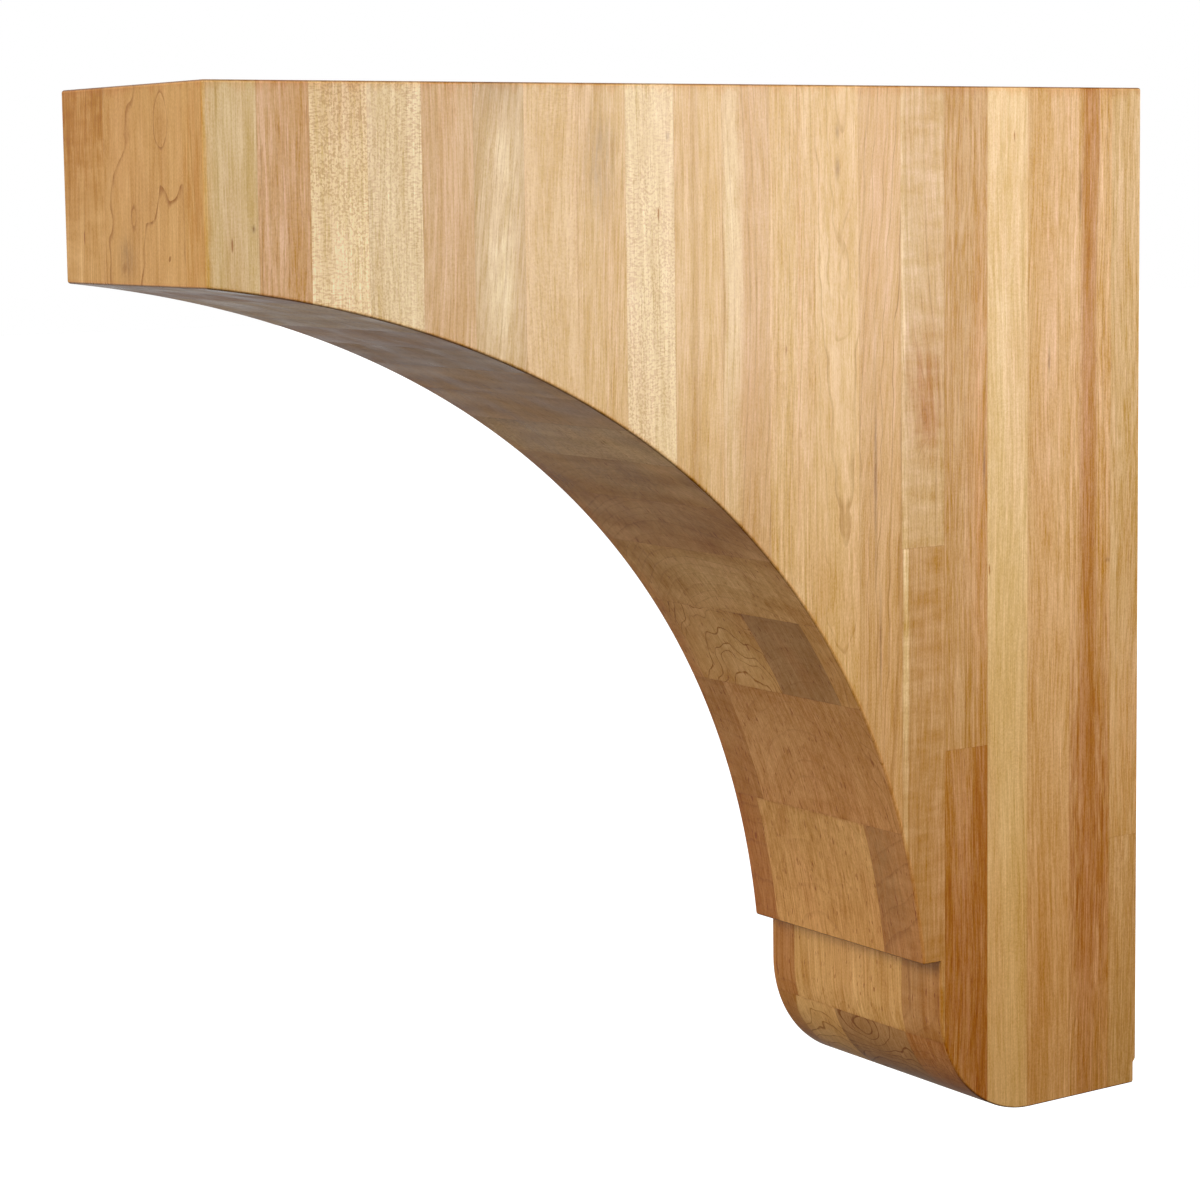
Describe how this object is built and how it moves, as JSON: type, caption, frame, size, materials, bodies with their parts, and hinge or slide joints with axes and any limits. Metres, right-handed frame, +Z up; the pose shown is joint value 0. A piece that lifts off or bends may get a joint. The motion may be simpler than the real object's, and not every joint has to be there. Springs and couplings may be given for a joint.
{
  "type": "corbel bracket",
  "caption": "Solid wood corbel with a square nose, a long arched underside and a quarter-round foot behind a narrow ledge, cut from a glued-up block.",
  "frame": {"origin": "middle of the flat back face that stands against the wall", "axes": "+Y out of the back face into the wall, so the nose points along -Y; +Z up; +X along the width"},
  "size_m": [0.127, 0.4855, 0.4736],
  "materials": {
    "corbel_wood": "sanded hardwood staves, glued side by side, under a thin satin oil"
  },
  "bodies": {
    "root": {"corbel": "corbel_wood"}
  },
  "joints": []
}
